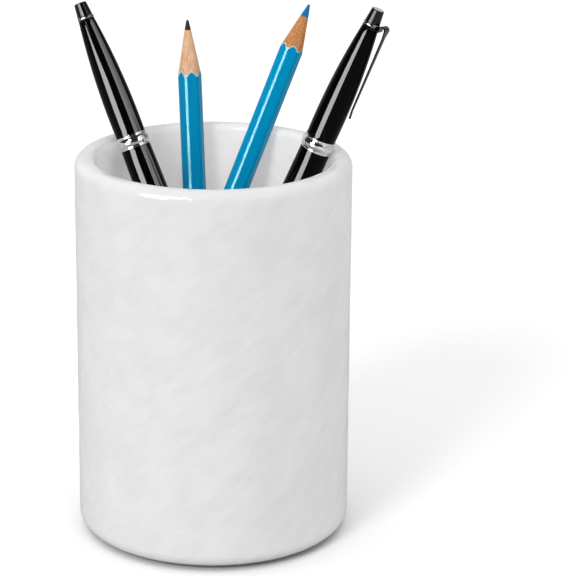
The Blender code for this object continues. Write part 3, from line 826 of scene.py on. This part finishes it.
class PENCUP_OT_trim(bpy.types.Operator):
    """Turn the nose cones, centre bands, rings and finials of the pens"""

    bl_idname = "pencup.trim"
    bl_label = "Pen Trim"

    def execute(self, context):
        sizes = context.scene.twist_pens
        chrome = polished_metal("trim_chrome", sizes.chrome, roughness=0.04)
        dark_chrome = polished_metal("finial_chrome", sizes.dark_chrome, roughness=0.07)
        ring_chrome = polished_metal("ring_chrome", sizes.ring_chrome, roughness=0.06)
        for profile, part, name, finish in (
                (self.nose(sizes), "nose_cone", "chrome_nose", chrome),
                (self.band(sizes), "centre_band", "chrome_band", chrome),
                (self.ring(sizes), "finial_ring", "dark_ring", ring_chrome)):
            dress_each_pen(lathe(part, profile), part, name, finish)
        dress_each_pen(lathe("finial", self.finial(sizes)), "finial", "dark_finial", dark_chrome, chrome)
        for pen in PENS:
            for face in bpy.data.objects[pen + "_dark_finial"].data.polygons:
                if face.normal.dot(SHAFTS[pen].axis) > LEVEL_FACE:
                    face.material_index = 1
        return {"FINISHED"}

    def nose(self, sizes):
        """A slightly swelling cone with a spigot up into the barrel."""
        mouth, spigot_top = PEN.span("nose_cone")
        foot, top = PEN.outside("lower_barrel")[2]
        top -= PRESS_GAP
        spigot = PEN.bore("lower_barrel") - PRESS_GAP
        point_bore = PEN.bore("nose_cone")
        refill_bore = PEN.reach("refill") + RUNNING_GAP
        land = mouth + sizes.nose_land
        middle = ((foot + sizes.nose_mouth) / 2 + sizes.nose_bulge, (mouth + top) / 2)
        profile = [(spigot, spigot_top), (spigot, top)]
        profile += swell((foot, top), middle, (sizes.nose_mouth, mouth))
        profile += [(point_bore, mouth), (point_bore, land), (refill_bore, land), (refill_bore, spigot_top)]
        return eased(profile, sizes.edge)

    def band(self, sizes):
        """A swelling belt between two lips, with a groove beside each."""
        low = PEN.span("lower_barrel")[1]
        high = PEN.span("upper_barrel")[0] - sizes.seam
        belt = PEN.reach("centre_band")
        bore = PEN.bore("centre_band")
        lip = belt - sizes.lip_inset
        groove = lip - sizes.groove
        lip_high, lip_low = high - sizes.lip, low + sizes.lip
        belt_high, belt_low = lip_high - sizes.groove, lip_low + sizes.groove
        profile = [(lip, high), (lip, lip_high), (groove, lip_high), (groove, belt_high)]
        profile += swell((lip, belt_high), (belt, (low + high) / 2), (lip, belt_low))
        profile += [(groove, belt_low), (groove, lip_low), (lip, lip_low), (lip, low)]
        profile += [(bore, low), (bore, high)]
        return eased(profile, sizes.edge)

    def ring(self, sizes):
        """A thin crowned ring under the finial."""
        low, high = PEN.span("finial_ring")
        crown = PEN.reach("finial_ring")
        bore = PEN.bore("finial_ring")
        edge = crown - sizes.ring_crown
        profile = swell((edge, high), (crown, (low + high) / 2), (edge, low), ARC_STEPS)
        profile += [(bore, low), (bore, high)]
        return eased(profile, sizes.edge)

    def finial(self, sizes):
        """A short tapered cap with a flat bright top, on its stud."""
        rings = PEN.rings("finial")
        foot, high = PEN.span("finial")
        low = PEN.span("finial_ring")[1] + PRESS_GAP
        base = PEN.reach("finial")
        top = max(radius for radius, height in rings if height > (low + high) / 2)
        stud = max(radius for radius, height in rings if height < low - SAME_LEVEL)
        edge = sizes.finial_edge
        profile = [(0.0, high)]
        profile += arc((top - edge, high - edge), edge, 90, 0)
        profile += [(base, low), (stud, low), (stud, foot), (0.0, foot)]
        return profile


class PENCUP_OT_clips(bpy.types.Operator):
    """Bend a strip into the pens' clips, each on a washer under its ring"""

    bl_idname = "pencup.clips"
    bl_label = "Pen Clips"

    def execute(self, context):
        sizes = context.scene.twist_pens
        barrel, barrel_top = PEN.outside("upper_barrel")[0]
        low = barrel_top + PRESS_GAP
        high = PEN.span("finial_ring")[0] - PRESS_GAP
        stud_bore = PEN.bore("clip")
        washer = lathe("washer", eased([(barrel, high), (barrel, low), (stud_bore, low), (stud_bore, high)],
                                       sizes.edge))
        clip = self.strip(sizes, (low + high) / 2, (barrel + stud_bore) / 2)
        cut(clip, "UNION", washer)
        smooth_flats(clip)
        finish = polished_metal("clip_chrome", sizes.clip_chrome, roughness=0.06)
        dress_each_pen(clip, "clip", "spring_clip", finish)
        return {"FINISHED"}

    def strip(self, sizes, middle, root):
        """A strip out of the washer, up past the ring, over a loop and down to its flared tip."""
        thick = sizes.clip_thickness
        leg = PEN.reach("finial_ring") + REST_GAP + thick / 2
        arm = leg + 2 * sizes.clip_loop
        tip_out = PEN.reach("upper_barrel") + sizes.clip_gap + thick / 2
        tip_low = PEN.span("clip")[0]
        loop_middle = middle + sizes.clip_rise

        item = start("clip", bpy.ops.mesh.primitive_plane_add, size=1.0)
        bpy.ops.transform.resize(value=(thick, sizes.clip_width, 1.0))
        bpy.ops.transform.translate(value=(leg, 0.0, middle - thick / 2))
        self.extrude((0.0, 0.0, thick))
        self.extrude((0.0, 0.0, sizes.clip_rise - thick / 2))
        bpy.ops.mesh.spin(steps=LOOP_STEPS, angle=math.pi, center=(leg + sizes.clip_loop, 0.0, loop_middle),
                          axis=(0.0, -1.0, 0.0))
        self.extrude((0.0, 0.0, -sizes.clip_neck))
        bpy.ops.transform.resize(value=(1.0, sizes.clip_arm / sizes.clip_width, 1.0))
        self.extrude((tip_out - arm, 0.0, tip_low + sizes.clip_tip + sizes.clip_neck - loop_middle))
        bpy.ops.transform.resize(value=(1.0, sizes.clip_end / sizes.clip_arm, 1.0))
        self.extrude((sizes.clip_flare, 0.0, -sizes.clip_tip))
        select_where(item, "FACE", lambda face: face.normal.x < -NEARLY_ALONG
                     and abs(face.calc_center_median().z - middle) < thick / 4
                     and face.calc_center_median().x < leg)
        self.extrude((root - leg + thick / 2, 0.0, 0.0))
        leave_edit()
        apply_modifier(item, "BEVEL", width=sizes.edge, segments=EDGE_STEPS, limit_method="ANGLE")
        return item

    def extrude(self, step):
        bpy.ops.mesh.extrude_region_move(TRANSFORM_OT_translate={"value": step})


class PENCUP_OT_works(bpy.types.Operator):
    """Finish the refills and the twist mechanisms inside the pens"""

    bl_idname = "pencup.works"
    bl_label = "Pen Works"

    def execute(self, context):
        sizes = context.scene.twist_pens
        brass = polished_metal("works_brass", sizes.brass, roughness=0.22, size=0.0006)
        finishes = {
            "refill": polished_metal("drawn_steel", sizes.steel, roughness=0.2, size=0.0006),
            "refill_carrier": grained(
                "moulded_plastic", full(sizes.plastic), full(sizes.plastic, 0.9), size=0.002,
                roughness=0.35, rougher=0.2, depth=0.00005, strength=0.3),
            "twist_sleeve": brass,
            "twist_cam": brass,
        }
        for pen in PENS:
            for part, finish in finishes.items():
                frame["nodes"][f"{pen}_{part}"].material_slots[0].material = finish
        return {"FINISHED"}


class PENCUP_OT_pencils(bpy.types.Operator):
    """Sharpen the pencils: cedar casing, lacquer with its scallops, and core"""

    bl_idname = "pencup.pencils"
    bl_label = "Pencils"

    def execute(self, context):
        sizes = context.scene.pencils
        left, right = SHAFTS["left_pencil"], SHAFTS["right_pencil"]
        woods = {
            left: cedar("left_pencil_cedar", left, sizes.left_wood, sizes.left_grain, speckle=0.35),
            right: cedar("right_pencil_cedar", right, sizes.right_wood, sizes.right_grain, speckle=0.75),
        }
        cores = {
            left: drawn_core("graphite_lead", sizes.graphite, roughness=0.48, gloss=1.5),
            right: drawn_core("blue_lead", sizes.blue_core, roughness=0.55, gloss=1.25),
        }
        primer = pale_primer(sizes)
        for pencil in PENCILS:
            shaft = SHAFTS[pencil]
            rings = shaft.rings("core")
            core = shaft.reach("core")
            top = shaft.span("core")[1]
            tip = max(radius for radius, height in rings if top - height < SAME_LEVEL)
            shoulder = max(height for radius, height in rings if radius > (core + tip) / 2)
            slope = (core - tip) / (top - shoulder)
            corner = shaft.reach("lacquer")
            inside_corner = corner - sizes.coat * HEXAGON_CORNER
            wide = 2 * corner
            apex = top + tip / slope
            cone = [(0.0, apex), (wide, apex - wide / slope), (wide, -wide), (0.0, -wide)]

            casing = self.hexagon(pencil + "_cedar", inside_corner - PRESS_GAP, top, sizes)
            bore = core + PRESS_GAP
            hollow = lathe("bore", [(0.0, 2 * top), (bore, 2 * top), (bore, -top), (0.0, -top)])
            self.sharpen(casing, cone, hollow, shaft)
            dress(casing, pencil + "_casing", woods[shaft])

            coat = self.hexagon(pencil + "_blue_coat", corner, top, sizes)
            hollow = self.hexagon("inside", inside_corner, 2 * top, sizes)
            hollow.location.z = -top / 2
            self.sharpen(coat, cone, hollow, shaft)
            dress(coat, pencil + "_lacquer", blue_lacquer(pencil + "_coat", sizes, shaft), primer)
            for face in coat.data.polygons:
                if 1.0 - NEARLY_ALONG < face.normal.dot(shaft.axis) < NEARLY_ALONG:
                    face.material_index = 1

            profile = arc((0.0, top - tip), tip, 90, TIP_ROUND_END)
            profile[0] = (0.0, top)
            profile += [(core, shoulder), (core, 0.0), (0.0, 0.0)]
            lead = lathe(pencil + "_lead", profile)
            stand(lead, shaft.matrix)
            dress(lead, pencil + "_core", cores[shaft])
        return {"FINISHED"}

    def hexagon(self, name, corner, height, sizes):
        """A hexagonal bar with a corner towards +X and its long edges broken by softened flats."""
        def lengthwise(line):
            return abs(line.verts[0].co.z - line.verts[1].co.z) > height / 2

        item = start(name, bpy.ops.mesh.primitive_cylinder_add,
                     vertices=PENCIL_SIDES, radius=corner, depth=height)
        bpy.ops.transform.rotate(value=math.pi / 2, orient_axis="Z", center_override=(0.0, 0.0, 0.0))
        bpy.ops.transform.translate(value=(0.0, 0.0, height / 2))
        for width, segments in ((sizes.edge, 1), (sizes.edge_round, EDGE_STEPS)):
            select_where(item, "EDGE", lengthwise)
            bpy.ops.mesh.bevel(offset=width, offset_type="WIDTH", segments=segments, profile=0.5)
        leave_edit()
        return item

    def sharpen(self, bar, cone, hollow, shaft):
        """Cut a bar to the sharpener's cone, hollow it, and stand it in its place."""
        cut(bar, "INTERSECT", lathe("sharpener", cone))
        cut(bar, "DIFFERENCE", hollow)
        smooth_flats(bar)
        stand(bar, shaft.matrix)
        # its colour stays off the inside of the cup and the pens' chrome
        bar.visible_diffuse = False
        bar.visible_glossy = False


class PENCUP_OT_stage(bpy.types.Operator):
    """Set out the floor, the lights and the camera"""

    bl_idname = "pencup.stage"
    bl_label = "Stage"

    def execute(self, context):
        sizes = context.scene.studio
        bpy.ops.object.select_all(action="DESELECT")
        bpy.ops.mesh.primitive_plane_add(size=FLOOR_SIZE, location=(0.0, 0.0, FLOOR_LEVEL))
        floor = context.active_object
        floor.name = "floor"
        floor.data.materials.append(self.floor_paint(sizes))
        self.surround(context.scene, sizes)
        self.sun("key_light", sizes.key, sizes.key_azimuth, sizes.key_elevation, sizes.key_spread)
        fill = self.sun("fill_light", sizes.fill, sizes.fill_azimuth, sizes.fill_elevation, sizes.key_spread)
        fill.visible_glossy = False
        self.link(fill, CUP_ONLY, CUP_ONLY)
        self.mirror_lights(sizes)
        self.mouth_light(sizes)
        self.camera(context.scene, sizes)
        return {"FINISHED"}

    def mirror_lights(self, sizes):
        """Panels that show only in polished pieces, each as bright as the finish it shows in needs."""
        barrels = ("_lacquered_lower", "_lacquered_upper")
        coats = ("_blue_coat",)
        dark = ("_dark_ring", "_dark_finial")
        chrome = ("_chrome_nose", "_chrome_band")
        clips = ("_spring_clip",)
        tools = barrels + coats + dark + chrome + clips
        for name, place, brightness, pieces, blockers in (
                ("barrel_softbox", SOFTBOX, sizes.softbox, barrels, tools),
                ("pencil_softbox", EDGE_SOFTBOX, sizes.softbox_coat, coats, coats),
                ("dark_softbox", WIDE_SOFTBOX, sizes.softbox_dark, dark, tools),
                ("chrome_softbox", SOFTBOX, sizes.softbox_chrome, chrome, tools),
                ("glaze_softbox", FAR_SOFTBOX, sizes.softbox_glaze, CUP_ONLY, CUP_ONLY),
                ("barrel_panel", SIDE_PANEL, sizes.panel, barrels, tools),
                ("metal_panel", SIDE_PANEL, sizes.panel_metal, dark + chrome + clips, tools)):
            panel = self.mirror_light(name, brightness, **place)
            self.link(panel, pieces, blockers)
            if place is SIDE_PANEL:
                self.fade_panel(panel)

    def collect(self, name, endings):
        """A collection of the pieces whose names end in given words."""
        collection = bpy.data.collections.new(name)
        for item in bpy.context.scene.objects:
            if item.name.endswith(endings):
                collection.objects.link(item)
        return collection

    def floor_paint(self, sizes):
        """White to the eye, and darker where it lights the object."""
        material, shader = new_finish("floor_paint")
        path = shader.node("ShaderNodeLightPath", {}, {}, "Is Camera Ray")
        seen = path + path.other("Is Transmission Ray")
        paint = shader.mix(seen, full([sizes.bounce] * 3), full([sizes.floor] * 3))
        surface = shader.node("ShaderNodeBsdfDiffuse", {}, {"Color": paint})
        shader.node("ShaderNodeOutputMaterial", {}, {"Surface": surface})
        return material

    def surround(self, scene, sizes):
        """White to the eye, a dim room with a white wall behind in mirrors, and soft light all round."""
        scene.world = bpy.data.worlds.new("studio")
        shader = Shader(scene.world)
        path = shader.node("ShaderNodeLightPath", {}, {}, "Is Camera Ray")
        mirrored = path.other("Is Glossy Ray")
        way = shader.node("ShaderNodeTexCoord", {}, {}, "Generated")
        across, deep, _ = shader.axes(way)
        wall = shader.fade(deep, *ROOM_WALL_EDGE)
        room = ROOM_DARK + wall * (ROOM_WALL - across * ROOM_WALL_FALL)
        lean = shader.node("ShaderNodeVectorMath", {"operation": "DOT_PRODUCT"},
                           {0: way, 1: AMBIENT_FROM}, "Value")
        ambient = sizes.ambient + lean * (sizes.ambient * sizes.ambient_tilt)
        strength = path + (1.0 - path) * (mirrored * room + (1.0 - mirrored) * ambient)
        sky = shader.node("ShaderNodeBackground", {}, {"Color": (1.0, 1.0, 1.0, 1.0), "Strength": strength})
        shader.node("ShaderNodeOutputWorld", {}, {"Surface": sky})

    def lamp(self, kind, name, energy, **place):
        """Add a lamp under its name, as strong as it has to be."""
        bpy.ops.object.light_add(type=kind, **place)
        lamp = bpy.context.active_object
        lamp.name = name
        lamp.data.energy = energy
        return lamp

    def sun(self, name, strength, azimuth, elevation, spread):
        """A broad soft light from far away."""
        lamp = self.lamp("SUN", name, strength, rotation=(math.pi / 2 - elevation, 0.0, azimuth))
        lamp.data.angle = spread
        return lamp

    def link(self, lamp, pieces, blockers):
        """Let a lamp light only some pieces, and be blocked only by some."""
        lamp.light_linking.receiver_collection = self.collect(lamp.name + "_pieces", pieces)
        lamp.light_linking.blocker_collection = self.collect(lamp.name + "_blockers", blockers)

    def mirror_light(self, name, brightness, azimuth, distance, size, height):
        """An upright panel that faces the cup and shows only in polished surfaces."""
        turn = math.radians(azimuth)
        place = (distance * math.sin(turn), -distance * math.cos(turn), height)
        energy = brightness * math.pi * size[0] * size[1]
        panel = self.lamp("AREA", name, energy, location=place, rotation=(math.pi / 2, 0.0, turn))
        panel.data.shape = "RECTANGLE"
        panel.data.size, panel.data.size_y = size
        panel.visible_camera = False
        panel.visible_diffuse = False
        return panel

    def mouth_light(self, sizes):
        """A small lamp in the front left of the mouth that lights only the cup, across to its back wall."""
        energy = sizes.mouth_fill * (math.pi * MOUTH_SIZE / 2) ** 2
        lamp = self.lamp("AREA", "mouth_fill", energy, location=MOUTH_PLACE, rotation=MOUTH_TURN)
        lamp.data.shape = "DISK"
        lamp.data.size = MOUTH_SIZE
        lamp.visible_camera = False
        lamp.visible_glossy = False
        self.link(lamp, CUP_ONLY, CUP_ONLY)

    def fade_panel(self, panel):
        """Let a panel fade from the edge near the camera to the far one."""
        shader = Shader(panel.data)
        where = shader.node("ShaderNodeNewGeometry", {}, {}, "Parametric")
        along, _, _ = shader.axes(where)
        glow = shader.node("ShaderNodeEmission", {}, {"Strength": 1.0 - along * SIDE_FADE})
        shader.node("ShaderNodeOutputLight", {}, {"Surface": glow})

    def camera(self, scene, sizes):
        """Looking down at a point on the cup's axis, and turned a little to the right."""
        back = Vector((0.0, -math.cos(sizes.elevation), math.sin(sizes.elevation)))
        place = Vector((0.0, 0.0, sizes.aim_height)) + back * sizes.distance
        bpy.ops.object.camera_add(location=place)
        camera = bpy.context.active_object
        pitch = Matrix.Rotation(math.pi / 2 - sizes.elevation, 3, "X")
        camera.rotation_euler = (pitch @ Matrix.Rotation(-sizes.aim_aside, 3, "Y")).to_euler()
        camera.data.lens = sizes.lens
        camera.data.sensor_width = SENSOR_WIDTH
        scene.camera = camera


class PENCUP_PT_panel(bpy.types.Panel):
    """The sizes and colours of the pen cup, with a button for each group of pieces"""

    bl_idname = "PENCUP_PT_panel"
    bl_label = "Pen Cup"
    bl_space_type = "VIEW_3D"
    bl_region_type = "UI"
    bl_category = "Pen Cup"

    def draw(self, context):
        for group, operators in PANEL_ROWS.items():
            box = self.layout.box()
            settings = getattr(context.scene, group)
            for name in settings.__annotations__:
                box.prop(settings, name)
            for operator in operators:
                box.operator(operator.bl_idname)


SETTINGS = {"glazed_cup": CupSettings, "twist_pens": PenSettings, "pencils": PencilSettings,
            "studio": StageSettings}
PANEL_ROWS = {
    "glazed_cup": (PENCUP_OT_cup, PENCUP_OT_pad),
    "twist_pens": (PENCUP_OT_barrels, PENCUP_OT_trim, PENCUP_OT_clips, PENCUP_OT_works),
    "pencils": (PENCUP_OT_pencils,),
    "studio": (PENCUP_OT_stage,),
}
CLASSES = [*SETTINGS.values(), *(one for row in PANEL_ROWS.values() for one in row), PENCUP_PT_panel]


def register():
    for one in CLASSES:
        bpy.utils.register_class(one)
    for name, group in SETTINGS.items():
        setattr(bpy.types.Scene, name, bpy.props.PointerProperty(type=group))


def unregister():
    for name in SETTINGS:
        delattr(bpy.types.Scene, name)
    for one in reversed(CLASSES):
        bpy.utils.unregister_class(one)


def main():
    register()
    bpy.ops.pencup.cup()
    bpy.ops.pencup.pad()
    bpy.ops.pencup.barrels()
    bpy.ops.pencup.trim()
    bpy.ops.pencup.clips()
    bpy.ops.pencup.works()
    bpy.ops.pencup.pencils()
    bpy.ops.pencup.stage()
    bpy.context.scene.view_settings.view_transform = "Standard"


if __name__ == "__main__":
    main()
